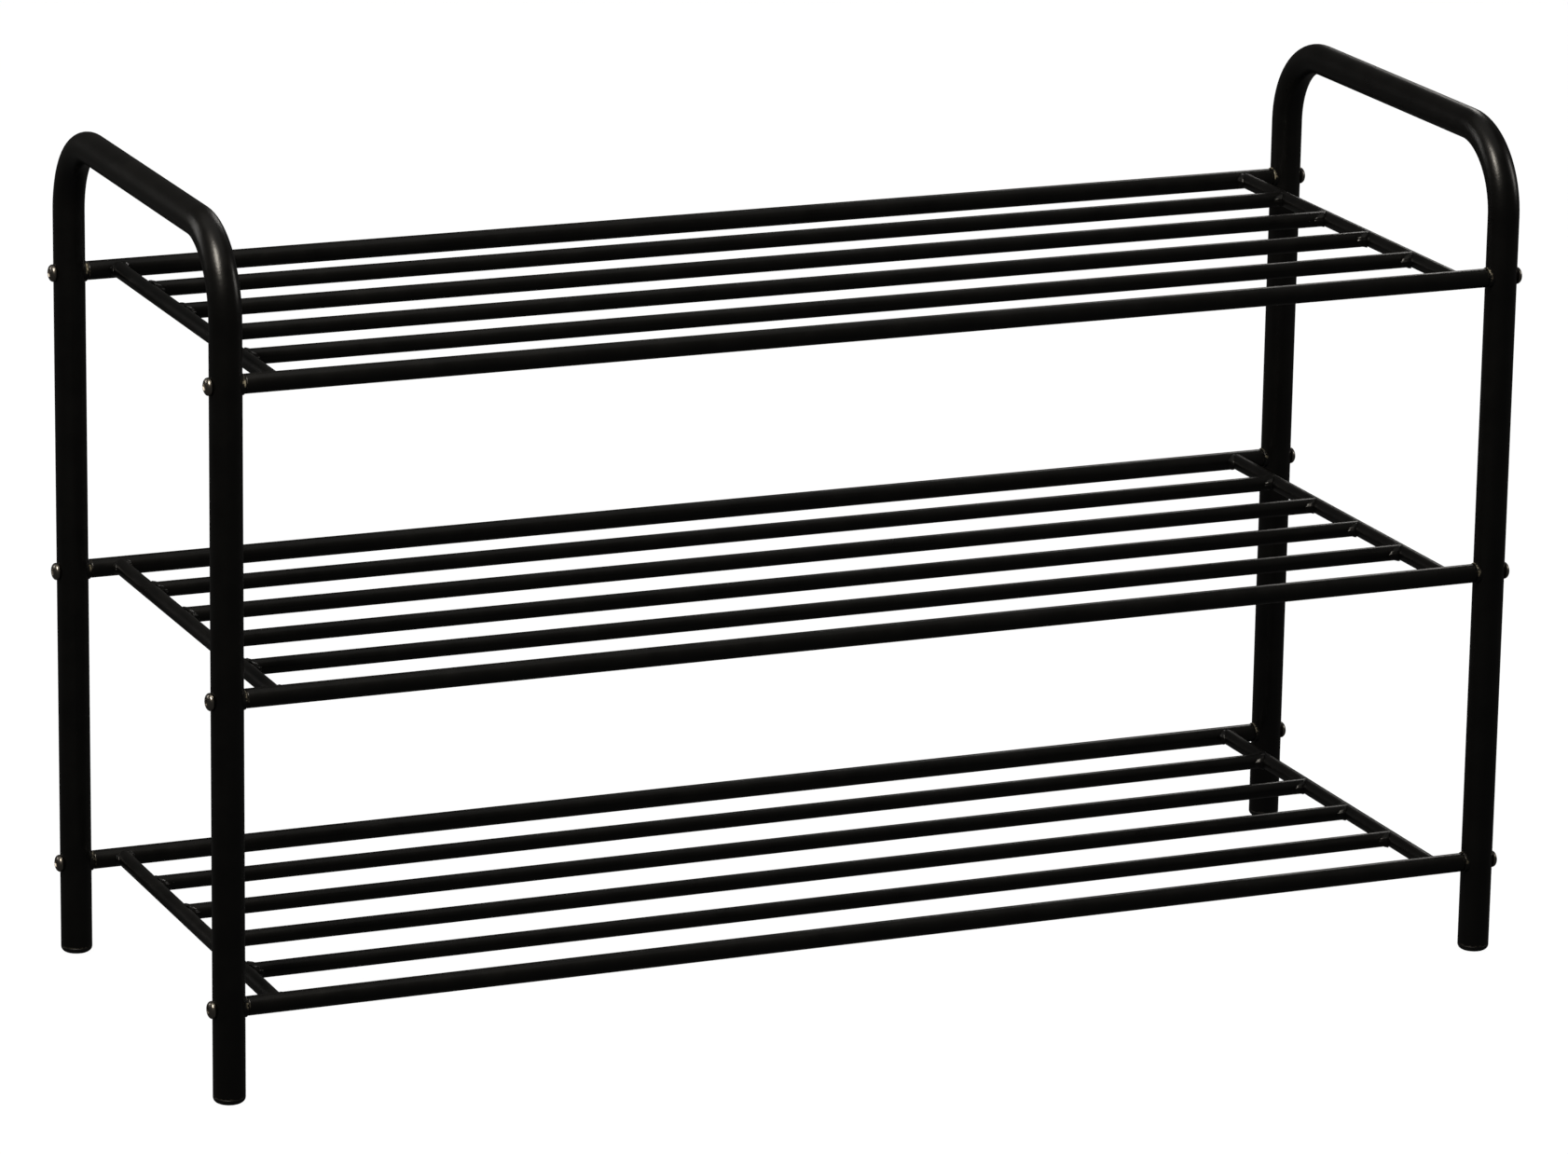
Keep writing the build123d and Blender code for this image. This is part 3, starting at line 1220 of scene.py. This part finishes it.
@dataclass
class SaddleSpacer(Part):
    """A moulded spacer between a leg and a rail: a lip hollowed round the leg, and a seat for the rail."""

    slot: ClassVar[Slot] = Slot.NYLON
    lip_radius: float = 6.7 * MM
    lip_thickness: float = 0.6 * MM
    lip_rounding: float = 0.4 * MM
    rounding_steps: int = 5
    hole_diameter: float = 6.6 * MM
    root_height: float = 5.0 * MM
    # These four fields place a pale painted highlight on the lip's rounded edge, a glint put in as colour,
    # strongest on the upper shelf.
    painted_glint_rounding: float = 1.1
    seat_room: float = 0.1 * MM
    painted_glint_fade: float = 4.0 * MM
    painted_glint_by_tier: tuple[float, ...] = (0.5, 0.6, 1.0)

    def profile(self) -> list[tuple[float, float]]:
        """Outlines the spacer, from inside the leg's hollow to its seat, with the leg's axis at height 0.

        Returns:
            The radius and height of each corner.
        """
        lay = self.layout
        lip_top = lay.leg_radius + self.lip_thickness
        inner = self.lip_radius - self.lip_rounding
        low = lip_top - self.lip_rounding
        points = [(self.lip_radius, self.root_height), (self.lip_radius, low)]
        for step in range(1, self.rounding_steps + 1):
            angle = QUARTER_TURN * step / self.rounding_steps
            points.append((inner + self.lip_rounding * math.cos(angle),
                           low + self.lip_rounding * math.sin(angle)))
        return points + [(lay.rail_radius, lip_top), (lay.rail_radius, lay.leg_x - lay.rail_end)]

    def build(self) -> bpy.types.Object:
        """Turns the spacer, hollows it for the leg and drills it for the bolt.

        Returns:
            The bare spacer, with the leg's axis through the origin.
        """
        radius = self.layout.leg_radius
        spacer = turn_piece("saddle_spacer_master", self.profile())
        cut_round(spacer, radius, CUT_THROUGH * radius, (0, 0, 0), ALONG_X)
        cut_round(spacer, self.hole_diameter / 2, CUT_THROUGH * radius, (0, 0, radius), UPRIGHT,
                  HOLE_SIDES)
        smooth(spacer)
        return spacer

    def _wear(self, place: Vector) -> float:
        """Gives the painted highlight at a place, which is on the upper part of the lip's rounded edge.

        Args:
            place: A point of a placed spacer.

        Returns:
            How strong the painted highlight is, from 0 to 1.
        """
        lay = self.layout
        tier = min(Tier, key=lambda shelf: abs(place.z - lay.shelf_height[shelf.value]))
        up = place.z - lay.shelf_height[tier.value]
        edge_start = lay.leg_radius + self.lip_thickness - self.painted_glint_rounding * self.lip_rounding
        past_edge = lay.leg_x - abs(place.x) > edge_start
        beside_seat = math.hypot(abs(place.y) - lay.leg_y, up) > lay.rail_radius + self.seat_room
        # The painted highlight fades out towards the lip's lower part, and each shelf has its own strength of
        # it.
        fade = min(1.0, max(0.0, up / self.painted_glint_fade + 0.5))
        return self.painted_glint_by_tier[tier.value] * fade if past_edge and beside_seat else 0.0

    def rub(self, piece: bpy.types.Object) -> None:
        """Marks the painted highlight on the spacer's lip."""
        mark(piece, "wear", self._wear)

    def spots(self) -> Iterator[tuple[str, str, Matrix]]:
        """Lists the twelve spacers, each lying with its hollow towards its leg.

        Returns:
            Each one's name, node and move.
        """
        for tier, side, row in product(Tier, Side, Row):
            name = f"{word(tier)}_{word(row)}_{word(side)}_saddle_spacer"
            lie = Matrix.Rotation(-side.value * QUARTER_TURN, 4, "Y")
            yield name, f"{word(tier)}_saddle_spacers", self.layout.joint(tier, side, row) @ lie


@dataclass
class Crossbar(Part):
    """A tube between the front and rear rails, coped to sit against both."""

    wall: float = 0.8 * MM
    cope_room: float = 8.0 * MM
    middle_steps: int = 4

    def build(self) -> bpy.types.Object:
        """Draws out the lower left crossbar and copes its ends.

        Returns:
            The bare crossbar.
        """
        lay = self.layout
        x, z = -lay.crossbar_x, lay.shelf_height[0]
        end = lay.rail_radius + self.cope_room
        middle = [(0, 2 * (lay.leg_y - end) / self.middle_steps, 0)] * self.middle_steps
        tube = draw_tube("crossbar_tube", lay.crossbar_radius, self.wall, (x, -lay.leg_y, z), ALONG_Y,
                         [(0, end, 0), *middle, (0, end, 0)])
        for y in (-lay.leg_y, lay.leg_y):
            cut_round(tube, lay.rail_radius, CUT_THROUGH * lay.rail_radius, (x, y, z), ALONG_X)
        smooth(tube)
        return tube

    def spots(self) -> Iterator[tuple[str, str, Matrix]]:
        """Lists the six crossbars.

        Returns:
            Each one's name, node and move.
        """
        lay = self.layout
        for tier, side in product(Tier, Side):
            node = f"{word(tier)}_{word(side)}_crossbar"
            shift = ((side.value + 1) * lay.crossbar_x, 0, lay.rise(tier))
            yield f"{node}_tube", node, Matrix.Translation(shift)


@dataclass
class Slat(Part):
    """A thin tube between the two crossbars, coped to sit against both."""

    wall: float = 0.8 * MM
    cope_room: float = 8.0 * MM
    middle_steps: int = 8

    def build(self) -> bpy.types.Object:
        """Draws out the lower shelf's front slat and copes its ends.

        Returns:
            The bare slat.
        """
        lay = self.layout
        y, z = lay.slat_y[0], lay.shelf_height[0]
        end = lay.crossbar_radius + self.cope_room
        middle = [(2 * (lay.crossbar_x - end) / self.middle_steps, 0, 0)] * self.middle_steps
        tube = draw_tube("slat_tube", lay.slat_radius, self.wall, (-lay.crossbar_x, y, z), ALONG_X,
                         [(end, 0, 0), *middle, (end, 0, 0)])
        for x in (-lay.crossbar_x, lay.crossbar_x):
            cut_round(tube, lay.crossbar_radius, CUT_THROUGH * lay.slat_radius, (x, y, z), ALONG_Y)
        smooth(tube)
        return tube

    def spots(self) -> Iterator[tuple[str, str, Matrix]]:
        """Lists the twelve slats.

        Returns:
            Each one's name, node and move.
        """
        lay = self.layout
        for tier, (number, y) in product(Tier, enumerate(lay.slat_y, 1)):
            node = f"{word(tier)}_slat_{number}"
            yield f"{node}_tube", node, Matrix.Translation((0, y - lay.slat_y[0], lay.rise(tier)))


@dataclass(frozen=True)
class Seam:
    """The seam round a tube's coped end, where it sits against another tube."""

    crossing: Vector
    along: Vector
    across: Vector
    radius: float
    saddle_radius: float

    def spot(self, angle: float, along: float, away: float) -> Vector:
        """Gives a place beside the seam.

        Args:
            angle: Where on the seam, round the coped tube from the way across.
            along: How far from the seam along the coped tube.
            away: How far out from the coped tube.

        Returns:
            The place.
        """
        out = self.across * math.cos(angle) + Vector((0, 0, math.sin(angle)))
        reach = self.radius * math.sin(angle)
        depth = math.sqrt(max(0.0, self.saddle_radius ** 2 - reach ** 2))
        return self.crossing + self.along * (depth + along) + out * (self.radius + away)


@dataclass(frozen=True)
class Bead:
    """One weld bead: its seam, the angle of its middle, how far it reaches, and its two widths."""

    seam: Seam
    middle: float
    reach: float
    length: float
    height: float


@dataclass
class WeldBeads:
    """The fillet welds of one crossbar: along both sides of each slat's end, and round its two ends."""

    layout: Layout
    slat_length: float = 5.6 * MM
    slat_height: float = 2.5 * MM
    slat_lean: tuple[float, float] = (-0.1, 0.15)
    slat_reach: tuple[float, float] = (1.0, 1.2)
    length_spread: tuple[float, float] = (0.85, 1.15)
    height_spread: tuple[float, float] = (0.9, 1.1)
    rail_length: float = 4.4 * MM
    rail_height: float = 2.3 * MM
    inner_reach: tuple[float, float] = (1.1, 1.3)
    outer_reach: tuple[float, float] = (0.8, 1.0)
    outer_share: float = 0.7
    fullness: float = 1.35
    face_points: int = 9
    lump: float = 0.05
    lumps: float = 2.6
    lump_drift: float = 3.0
    ripple: float = 0.05
    ripples: int = 6
    points_in_ripple: int = 4
    waves: int = 5
    first_wave: float = 1.3
    wander: float = 0.16
    end_taper: float = 0.7
    end_share: float = 0.03
    sunk: float = 0.3 * MM
    spatter_radius: float = 0.4 * MM
    spatter_share: float = 0.2
    spatter_roundness: int = 2
    spatter_stray: tuple[float, float] = (-0.6, 0.6)
    spatter_size: tuple[float, float] = (0.6, 1.1)
    spatter_flight: tuple[float, float] = (1.2, 1.6)
    spatter_lift: float = 0.3
    spatter_shape: Place = (1.25, 0.95, 0.85)
    dice: random.Random = field(default_factory=lambda: random.Random(WELD_SEED))

    def _slat_beads(self, side: Side, y: float, z: float) -> Iterator[Bead]:
        """Gives the two beads of one slat's end.

        Args:
            side: The crossbar's side.
            y: The slat's place across the shelf.
            z: The shelf's height.

        Returns:
            The rear bead, then the front one.
        """
        lay = self.layout
        seam = Seam(Vector((side.value * lay.crossbar_x, y, z)), Vector((-side.value, 0, 0)),
                    Vector((0, 1, 0)), lay.slat_radius, lay.crossbar_radius)
        for middle, way in ((0.0, 1), (math.pi, -1)):
            lean = way * self.dice.uniform(*self.slat_lean)
            length = self.slat_length * self.dice.uniform(*self.length_spread)
            reach = self.dice.uniform(*self.slat_reach)
            height = self.slat_height * self.dice.uniform(*self.height_spread)
            yield Bead(seam, middle + lean, reach, length, height)

    def _rail_beads(self, side: Side, row: Row, z: float) -> Iterator[Bead]:
        """Gives the two beads of one of the crossbar's ends.

        Args:
            side: The crossbar's side.
            row: The rail's row.
            z: The shelf's height.

        Returns:
            The bead that faces the shelf's middle, then the smaller one that faces the leg.
        """
        lay = self.layout
        inner = math.pi if side is Side.RIGHT else 0.0
        seam = Seam(Vector((side.value * lay.crossbar_x, row.value * lay.leg_y, z)),
                    Vector((0, -row.value, 0)), Vector((1, 0, 0)), lay.crossbar_radius, lay.rail_radius)
        yield Bead(seam, inner, self.dice.uniform(*self.inner_reach), self.rail_length, self.rail_height)
        yield Bead(seam, inner + math.pi, self.dice.uniform(*self.outer_reach),
                   self.rail_length * self.outer_share, self.rail_height * self.outer_share)

    def _ring(self, bead: Bead, angle: float, size: float, phase: float) -> list[Vector]:
        """Outlines a bead at one point of its seam.

        Args:
            bead: The bead.
            angle: Where on the seam.
            size: Its size there, as a share of its full widths.
            phase: Where the lumps on its face start.

        Returns:
            The outline's corners, from the tube over the bead's face and back through the seam.
        """
        length, height = bead.length * size, bead.height * size
        corners = [bead.seam.spot(angle, length, -self.sunk)]
        for step in range(1, self.face_points):
            turn = QUARTER_TURN * step / self.face_points
            lump = 1 + self.lump * math.sin(self.lumps * math.tau * step / self.face_points + phase)
            corners.append(bead.seam.spot(angle, length * math.cos(turn) ** (2 / self.fullness),
                                          height * lump * math.sin(turn) ** (2 / self.fullness)))
        corners.append(bead.seam.spot(angle, -self.sunk, height))
        corners.append(bead.seam.spot(angle, -self.sunk, -self.sunk))
        return corners

    def _lay(self, bead: Bead) -> bpy.types.Object:
        """Lays one rippled bead along its seam.

        Args:
            bead: The bead to lay.

        Returns:
            Its mesh.
        """
        count = self.ripples * self.points_in_ripple
        phase = self.dice.uniform(0, math.tau)
        drift = [self.dice.uniform(-1, 1) for _ in range(self.waves)]
        rings = []
        for number in range(count + 1):
            share = number / count
            swell = math.sin(math.pi * (self.end_share + (1 - 2 * self.end_share) * share)) ** self.end_taper
            wander = sum(push * math.sin((wave + self.first_wave) * math.pi * share + push)
                         for wave, push in enumerate(drift)) / self.waves
            beat = math.sin(math.tau * share * self.ripples + phase)
            size = swell * (1 + self.ripple * beat + self.wander * wander)
            angle = bead.middle + bead.reach * (2 * share - 1)
            rings.append(self._ring(bead, angle, size, phase + self.lump_drift * wander))
        return loft("weld_bead", rings)

    def _spatter(self, bead: Bead) -> bpy.types.Object:
        """Drops one small ball of spatter beside a bead.

        Args:
            bead: The bead that it flew from.

        Returns:
            Its mesh.
        """
        angle = bead.middle + self.dice.uniform(*self.spatter_stray) * bead.reach
        radius = self.spatter_radius * self.dice.uniform(*self.spatter_size)
        flight = bead.length * self.dice.uniform(*self.spatter_flight)
        clear_selection()
        bpy.ops.mesh.primitive_ico_sphere_add(
            subdivisions=self.spatter_roundness, radius=radius,
            location=bead.seam.spot(angle, flight, radius * self.spatter_lift))
        ball = bpy.context.active_object
        with editing(ball):
            bpy.ops.transform.resize(value=self.spatter_shape, center_override=ball.location)
        set_place(ball)
        return ball

    def place(self, coat: bpy.types.Material) -> None:
        """Welds all six crossbars.

        Args:
            coat: The powder coat over the welds.
        """
        lay = self.layout
        for tier, side in product(Tier, Side):
            z = lay.shelf_height[tier.value]
            beads = [bead for y in lay.slat_y for bead in self._slat_beads(side, y, z)]
            beads += [bead for row in Row for bead in self._rail_beads(side, row, z)]
            meshes = [self._lay(bead) for bead in beads]
            meshes += [self._spatter(bead) for bead in beads if self.dice.random() < self.spatter_share]
            crossbar = f"{word(tier)}_{word(side)}_crossbar"
            welds = join(meshes, f"{crossbar}_welds")
            face_out(welds)
            smooth(welds)
            hand_over(welds, Slot.COAT, coat, crossbar)


@dataclass
class Bolt(Part):
    """An M6 button-head bolt with a hex socket."""

    slot: ClassVar[Slot] = Slot.BOLT
    shank_radius: float = 2.96 * MM
    length: float = 35.0 * MM
    tip_chamfer: float = 0.8 * MM
    head_radius: float = 5.5 * MM
    head_height: float = 3.3 * MM
    head_sides: int = 48
    rim_height: float = 0.7 * MM
    rim_edge: float = 0.15 * MM
    crown_radius: float = 2.9 * MM
    dome_steps: int = 9
    dome_fullness: float = 0.8
    socket_across: float = 4.0 * MM
    socket_depth: float = 2.1 * MM
    socket_edge: float = 0.18 * MM
    socket_room: float = 0.01 * MM
    socket_ledge: float = 0.35 * MM
    drill_depth: float = 0.35 * MM
    drill_taper: float = 0.35
    # The span of the socket's depth, as shares of it, where the plate is darkened.
    darkened_depth: tuple[float, float] = (0.15, 1.4)

    @property
    def socket_reach(self) -> float:
        """Gives the radius of the circle through the socket's corners."""
        return self.socket_across / math.sqrt(3)

    def profile(self) -> list[tuple[float, float]]:
        """Outlines the bolt from the edge of its tip to its crown, with its seat at height 0.

        Returns:
            The radius and height of each corner.
        """
        points = [
            (self.shank_radius - self.tip_chamfer, -self.length),
            (self.shank_radius, self.tip_chamfer - self.length),
            (self.shank_radius, 0.0),
            (self.head_radius - self.rim_edge, 0.0),
            (self.head_radius, self.rim_edge),
            (self.head_radius, self.rim_height),
        ]
        reach = self.head_radius - self.crown_radius
        rise = self.head_height - self.rim_height
        full = QUARTER_TURN * self.dome_fullness
        for step in range(1, self.dome_steps + 1):
            angle = full * step / self.dome_steps
            fall = (1 - math.cos(angle)) / (1 - math.cos(full))
            points.append((self.head_radius - reach * fall,
                           self.rim_height + rise * math.sin(angle) / math.sin(full)))
        return points

    def build(self) -> bpy.types.Object:
        """Turns the bolt, head up, and sinks its socket, with a drill's dent in the socket's floor.

        Returns:
            The bare bolt, with its seat at the origin.
        """
        top = self.head_height
        floor = top - self.socket_depth
        bolt = turn_piece("bolt_master", self.profile(), self.head_sides)
        cut_round(bolt, self.socket_reach, 2 * self.socket_depth, (0, 0, top), UPRIGHT, HEX_SIDES)
        with editing(bolt):
            pick(bolt, Pick.EDGES, lambda p: p.z > top - TOUCH and self._in_socket(p))
            bpy.ops.mesh.bevel(offset=self.socket_edge, segments=EDGE_SEGMENTS, affect="EDGES")
            pick(bolt, Pick.FACES, lambda p: abs(p.z - floor) < TOUCH and self._in_socket(p))
            bpy.ops.mesh.inset(thickness=self.socket_ledge)
            draw_out((0, 0, -self.drill_depth))
            scale_about_axis(self.drill_taper)
        smooth(bolt)
        mark(bolt, "recess", self._recess)
        return bolt

    def _in_socket(self, place: Vector) -> bool:
        """Says whether a place is no further from the bolt's axis than the socket's corners."""
        return math.hypot(place.x, place.y) < self.socket_reach + self.socket_room

    def _recess(self, place: Vector) -> float:
        """Gives how deep in the socket a place is.

        Args:
            place: A point of the bare bolt.

        Returns:
            The depth, from 0 near the socket's mouth to 1 at its floor, and 0 outside it.
        """
        depth = (self.head_height - place.z) / self.socket_depth
        shallow, deep = self.darkened_depth
        return min(1.0, depth) if self._in_socket(place) and shallow < depth < deep else 0.0

    def spots(self) -> Iterator[tuple[str, str, Matrix]]:
        """Lists the twelve bolts, each turned as the driver left it.

        Returns:
            Each one's name, node and move.
        """
        lay = self.layout
        for tier, side, row in product(Tier, Side, Row):
            name = f"{word(tier)}_{word(row)}_{word(side)}_bolt"
            spin = Matrix.Rotation(random.Random(name).uniform(0, math.tau), 4, "Z")
            lie = Matrix.Rotation(side.value * QUARTER_TURN, 4, "Y")
            seat = lay.joint(tier, side, row) @ lie @ Matrix.Translation((0, 0, lay.leg_radius))
            yield name, f"{word(tier)}_bolts", seat @ spin


class RailInserts:
    """The threaded sleeves in the rails' ends, whose CAD solids are right as they are."""

    @staticmethod
    def dress(zinc: bpy.types.Material) -> None:
        """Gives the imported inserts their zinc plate.

        Args:
            zinc: Their plated steel.
        """
        for tier in Tier:
            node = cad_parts[f"{word(tier)}_rail_inserts"]
            for material_slot in node.material_slots:
                material_slot.material = zinc
            LOG.info("%s: the packed solids, in %s", node.name, zinc.name)


# ---------------------------------------------------------------- studio


@dataclass(frozen=True)
class Softbox:
    """One rectangular studio light."""

    name: str
    place: Place
    aim: Place
    size: tuple[float, float]
    power: float
    colour: tuple[float, float, float]
    lights_floor: bool = False

    def light(self) -> bpy.types.Object:
        """Hangs the light and points it at its aim.

        Returns:
            The light's object.
        """
        lamp = bpy.data.lights.new(self.name, "AREA")
        lamp.shape = "RECTANGLE"
        lamp.size, lamp.size_y = self.size
        lamp.energy = self.power
        lamp.color = self.colour
        holder = add_object(self.name, lamp)
        holder.location = self.place
        way = Vector(self.aim) - Vector(self.place)
        holder.rotation_euler = way.to_track_quat("-Z", "Y").to_euler()
        return holder


SOFTBOXES = (
    Softbox("key_softbox", place=(-1.21, -0.99, 2.39), aim=(-0.42, -0.15, 0.52), size=(0.35, 1.0),
            power=40.0, colour=(1.0, 0.93, 0.82)),
    Softbox("fill_softbox", place=(2.45, -0.45, 1.2), aim=(0.4, 0.0, 0.45), size=(0.5, 0.9),
            power=5.0, colour=(1.0, 0.96, 0.90)),
    Softbox("overhead_softbox", place=(0.0, 0.2, 3.2), aim=(0.0, 0.0, 0.3), size=(3.0, 3.0),
            power=5.5, colour=(1.0, 0.98, 0.95), lights_floor=True),
    Softbox("rear_left_softbox", place=(-2.4, 1.9, 1.5), aim=(0.0, 0.0, 0.3), size=(0.5, 1.4),
            power=7.0, colour=(1.0, 0.97, 0.93)),
    Softbox("rear_right_softbox", place=(2.0, 2.6, 2.0), aim=(0.0, 0.0, 0.3), size=(0.5, 1.4),
            power=6.0, colour=(1.0, 0.97, 0.93)),
)


@dataclass(frozen=True)
class Studio:
    """The white floor, the softboxes and the camera."""

    floor_span: float = 60.0
    floor_strength: float = 3.45
    camera_place: Place = (-1.7682, -4.1737, 1.5196)
    camera_turn: Place = (74.3325, -0.8712, -22.7157)
    camera_sight: float = 100.0
    lens: float = 170.55
    sensor: float = 36.0
    surround: Colour = (0.035, 0.0345, 0.033, 1)
    backdrop: Colour = (1.0, 1.0, 1.0, 1)

    def lay_floor(self) -> bpy.types.Object:
        """Lays the floor, which a lamp of its own lights evenly, and which the rack's gloss doesn't show.

        Returns:
            The floor.
        """
        clear_selection()
        bpy.ops.mesh.primitive_plane_add(size=self.floor_span, location=(0, 0, 0))
        floor = bpy.context.active_object
        floor.name = "studio_floor"
        floor.data.materials.append(PaleFloor().material())
        floor.visible_glossy = False
        floor.visible_diffuse = False
        floor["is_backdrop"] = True
        lamp = bpy.data.lights.new("floor_lamp", "SUN")
        lamp.energy = self.floor_strength
        lamp.use_shadow = False
        holder = add_object("floor_lamp", lamp)
        holder.light_linking.receiver_collection = self._receivers(Reach.FLOOR_ONLY, floor)
        return floor

    @staticmethod
    def _receivers(reach: Reach, floor: bpy.types.Object) -> bpy.types.Collection:
        """Makes the list of what a light reaches.

        Args:
            reach: What it reaches.
            floor: The floor.

        Returns:
            The list, as a collection.
        """
        receivers = bpy.data.collections.new(word(reach))
        receivers.objects.link(floor)
        receivers.collection_objects[0].light_linking.link_state = reach.value
        return receivers

    def hang_lights(self, floor: bpy.types.Object) -> None:
        """Hangs the softboxes, and sets the room's own dim light and its white backdrop.

        Args:
            floor: The floor, which only the overhead softbox lights, for faint shadows under the rack.
        """
        rack_only = self._receivers(Reach.ALL_BUT_FLOOR, floor)
        for softbox in SOFTBOXES:
            holder = softbox.light()
            if not softbox.lights_floor:
                holder.light_linking.receiver_collection = rack_only
        world = bpy.data.worlds.new("studio_room")
        bpy.context.scene.world = world
        world.use_nodes = True
        world.node_tree.nodes.clear()
        board = NodeBoard(world.node_tree)
        room = board.add("Background", {"Color": self.surround, "Strength": 1.0}).outputs["Background"]
        sheet = board.add("Background", {"Color": self.backdrop, "Strength": 1.0}).outputs["Background"]
        seen = board.add("LightPath").outputs["Is Camera Ray"]
        shown = board.add("MixShader", {"Fac": seen, 1: room, 2: sheet}).outputs["Shader"]
        board.add("OutputWorld", {"Surface": shown})

    def set_camera(self) -> None:
        """Stands the camera at the front left, above the rack, with a long lens."""
        camera = bpy.data.cameras.new("camera")
        camera.lens = self.lens
        camera.sensor_width = self.sensor
        camera.clip_end = self.camera_sight
        holder = add_object("camera", camera)
        holder.location = self.camera_place
        holder.rotation_euler = [math.radians(angle) for angle in self.camera_turn]
        bpy.context.scene.camera = holder
        bpy.context.scene.view_settings.view_transform = "Standard"


# ---------------------------------------------------------------- assembly


def write_sizes() -> None:
    """Puts the CAD model's box and the visual model's box side by side, and keeps neither."""
    boxes = {"cad": CAD_BOX, "visual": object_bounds()}
    {name: [list(corner) for corner in box] for name, box in boxes.items()}


def main() -> None:
    """Builds the rack from the floor up, then the studio round it."""
    logging.basicConfig(level=logging.INFO, format="%(message)s")
    layout = Layout.from_frame()
    effects = EffectShelf()
    coat = PowderCoat().material(effects)
    plastic = MouldedPlastic().material(effects)
    nylon = SmoothNylon().material(effects)
    nickel = DarkNickel().material(effects)
    zinc = YellowZinc().material(effects)
    EndFrame(layout).place(coat)
    FootPlug(layout).place(plastic)
    Rail(layout).place(coat)
    SaddleSpacer(layout).place(nylon)
    Crossbar(layout).place(coat)
    Slat(layout).place(coat)
    WeldBeads(layout).place(coat)
    Bolt(layout).place(nickel)
    RailInserts.dress(zinc)
    studio = Studio()
    studio.hang_lights(studio.lay_floor())
    studio.set_camera()
    write_sizes()


if __name__ == "__main__":
    main()
